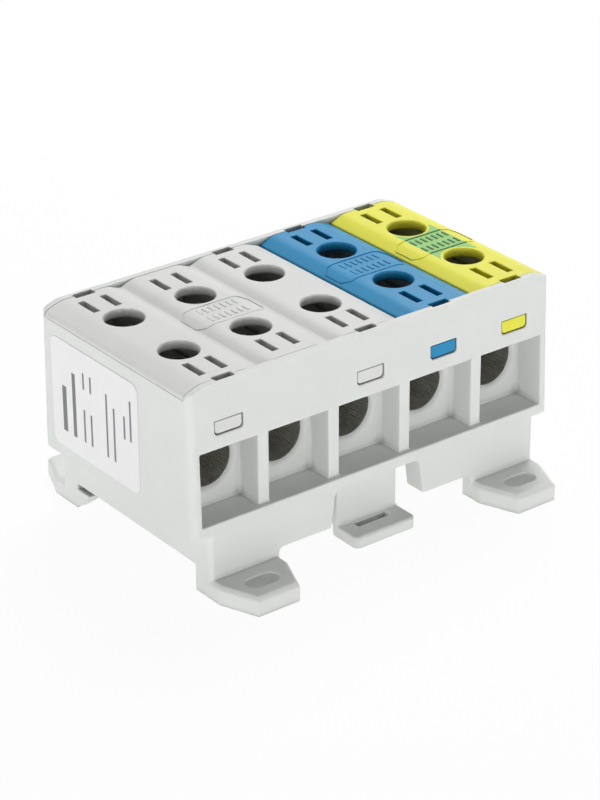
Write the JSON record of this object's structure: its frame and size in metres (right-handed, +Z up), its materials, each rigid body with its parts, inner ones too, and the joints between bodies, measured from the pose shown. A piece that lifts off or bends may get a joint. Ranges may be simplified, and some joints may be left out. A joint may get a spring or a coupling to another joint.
{
  "type": "main line terminal block",
  "caption": "Multi-pole feed-through terminal block with grey, blue and yellow covers, screw clamps, slotted feet and a rail latch.",
  "frame": {"origin": "centre of the four foot slots, in the plane of the soles", "axes": "+X along the poles from the grey covers to the yellow one, +Y from the latch side to the hook side, +Z up through the clamp screws"},
  "size_m": [0.0946, 0.0776, 0.048],
  "materials": {
    "body_grey": "fine matt moulding",
    "cover_grey": "fine matt moulding",
    "cover_blue": "fine matt moulding",
    "cover_yellow": "fine matt moulding",
    "terminal_metal": "sawn extrusion",
    "screw_metal": "blackened",
    "label_white": "satin film"
  },
  "bodies": {
    "block": {"housing": "body_grey", "phase_cover": "cover_grey", "neutral_cover": "cover_blue", "earth_cover": "cover_yellow", "terminal_1": "terminal_metal", "terminal_2": "terminal_metal", "terminal_3": "terminal_metal", "terminal_4": "terminal_metal", "terminal_5": "terminal_metal", "end_label": "label_white"},
    "clamp_screw_1_front": {"clamp_screw_1_front": "screw_metal"},
    "clamp_screw_1_rear": {"clamp_screw_1_rear": "screw_metal"},
    "clamp_screw_2_front": {"clamp_screw_2_front": "screw_metal"},
    "clamp_screw_2_rear": {"clamp_screw_2_rear": "screw_metal"},
    "clamp_screw_3_front": {"clamp_screw_3_front": "screw_metal"},
    "clamp_screw_3_rear": {"clamp_screw_3_rear": "screw_metal"},
    "clamp_screw_4_front": {"clamp_screw_4_front": "screw_metal"},
    "clamp_screw_4_rear": {"clamp_screw_4_rear": "screw_metal"},
    "clamp_screw_5_front": {"clamp_screw_5_front": "screw_metal"},
    "clamp_screw_5_rear": {"clamp_screw_5_rear": "screw_metal"},
    "rail_latch": {"rail_latch": "body_grey"}
  },
  "joints": [
    {"name": "clamp_1_front", "type": "slide", "parent": "block", "child": "clamp_screw_1_front", "axis": [0, 0, -1], "range_m": [0, 0.009]},
    {"name": "clamp_1_rear", "type": "slide", "parent": "block", "child": "clamp_screw_1_rear", "axis": [0, 0, -1], "range_m": [0, 0.009]},
    {"name": "clamp_2_front", "type": "slide", "parent": "block", "child": "clamp_screw_2_front", "axis": [0, 0, -1], "range_m": [0, 0.009]},
    {"name": "clamp_2_rear", "type": "slide", "parent": "block", "child": "clamp_screw_2_rear", "axis": [0, 0, -1], "range_m": [0, 0.009]},
    {"name": "clamp_3_front", "type": "slide", "parent": "block", "child": "clamp_screw_3_front", "axis": [0, 0, -1], "range_m": [0, 0.009]},
    {"name": "clamp_3_rear", "type": "slide", "parent": "block", "child": "clamp_screw_3_rear", "axis": [0, 0, -1], "range_m": [0, 0.009]},
    {"name": "clamp_4_front", "type": "slide", "parent": "block", "child": "clamp_screw_4_front", "axis": [0, 0, -1], "range_m": [0, 0.009]},
    {"name": "clamp_4_rear", "type": "slide", "parent": "block", "child": "clamp_screw_4_rear", "axis": [0, 0, -1], "range_m": [0, 0.009]},
    {"name": "clamp_5_front", "type": "slide", "parent": "block", "child": "clamp_screw_5_front", "axis": [0, 0, -1], "range_m": [0, 0.009]},
    {"name": "clamp_5_rear", "type": "slide", "parent": "block", "child": "clamp_screw_5_rear", "axis": [0, 0, -1], "range_m": [0, 0.009]},
    {"name": "latch_flex", "type": "hinge", "parent": "block", "child": "rail_latch", "pos_m": [0, -0.0227, 0.014], "axis": [-1, 0, 0], "range_deg": [0, 10], "stiffness_Nm_per_rad": 0.6}
  ]
}
